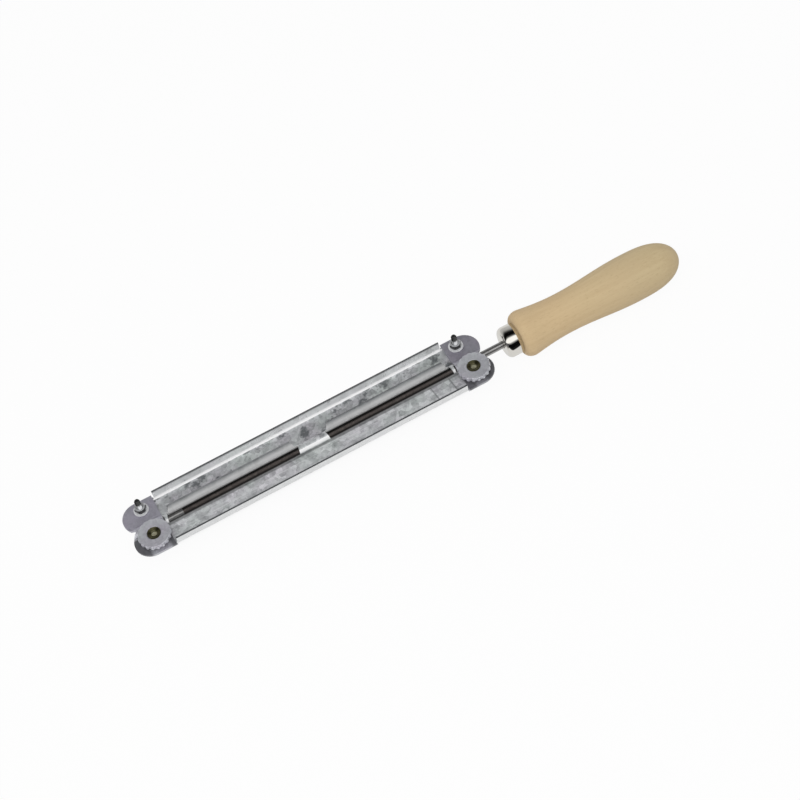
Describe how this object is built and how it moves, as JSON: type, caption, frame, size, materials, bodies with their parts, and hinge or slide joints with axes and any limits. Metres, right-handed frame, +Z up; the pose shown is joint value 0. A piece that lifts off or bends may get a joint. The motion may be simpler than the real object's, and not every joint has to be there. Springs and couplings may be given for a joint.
{
  "type": "chainsaw file guide",
  "caption": "Sheet-metal chainsaw file guide: a round file lies in the windows of a flanged plate between lobed end clamps with grip discs, jaws and nuts, and carries a turned wooden handle.",
  "frame": {"origin": "below the middle of the part's outline, at the lowest point of the handle's belly", "axes": "+X along the file from the toe to the handle, +Y towards the nuts' side, +Z up out of the channel; the file's axis is 13.0 mm above the origin"},
  "size_m": [0.3188, 0.0334, 0.026],
  "materials": {
    "galvanised_sheet": "satin, with a faint zinc spangle",
    "zinc_plated_steel": "satin zinc plating",
    "yellow_passivated_steel": "satin, olive-yellow passivation",
    "fastener_steel": "bright zinc plating",
    "file_steel": "dark, finely cut with spiral teeth",
    "nickel_plated_steel": "polished nickel plating",
    "beech_wood": "turned, sanded and thinly varnished"
  },
  "bodies": {
    "guide": {"guide_plate": "galvanised_sheet", "left_clamp_cap": "zinc_plated_steel", "right_clamp_cap": "zinc_plated_steel", "left_clamp_screw": "fastener_steel", "right_clamp_screw": "fastener_steel", "left_screw_washer": "fastener_steel", "right_screw_washer": "fastener_steel"},
    "file_unit": {"round_file": "file_steel", "ferrule": "nickel_plated_steel", "handle": "beech_wood"},
    "left_jaw": {"left_clamp_jaw": "zinc_plated_steel", "left_hollow_rivet": "yellow_passivated_steel", "left_grip_disc": "zinc_plated_steel", "left_rivet_spacer": "zinc_plated_steel"},
    "right_jaw": {"right_clamp_jaw": "zinc_plated_steel", "right_hollow_rivet": "yellow_passivated_steel", "right_grip_disc": "zinc_plated_steel", "right_rivet_spacer": "zinc_plated_steel"},
    "left_nut": {"left_clamp_nut": "fastener_steel"},
    "right_nut": {"right_clamp_nut": "fastener_steel"}
  },
  "joints": [
    {"name": "file_turn", "type": "hinge", "parent": "guide", "child": "file_unit", "pos_m": [-0.0568, 0, 0.013], "axis": [1, 0, 0], "continuous": true},
    {"name": "left_jaw_swing", "type": "hinge", "parent": "guide", "child": "left_jaw", "pos_m": [-0.14795, -0.0075, 0.0135], "axis": [0, 0, 1], "range_deg": [-90, 0]},
    {"name": "right_jaw_swing", "type": "hinge", "parent": "guide", "child": "right_jaw", "pos_m": [0.03435, -0.0075, 0.0135], "axis": [0, 0, 1], "range_deg": [0, 90]},
    {"name": "left_nut_turn", "type": "hinge", "parent": "guide", "child": "left_nut", "pos_m": [-0.14815, 0.011, 0.0174], "axis": [0, 0, 1], "continuous": true},
    {"name": "right_nut_turn", "type": "hinge", "parent": "guide", "child": "right_nut", "pos_m": [0.03335, 0.011, 0.0174], "axis": [0, 0, 1], "continuous": true}
  ]
}
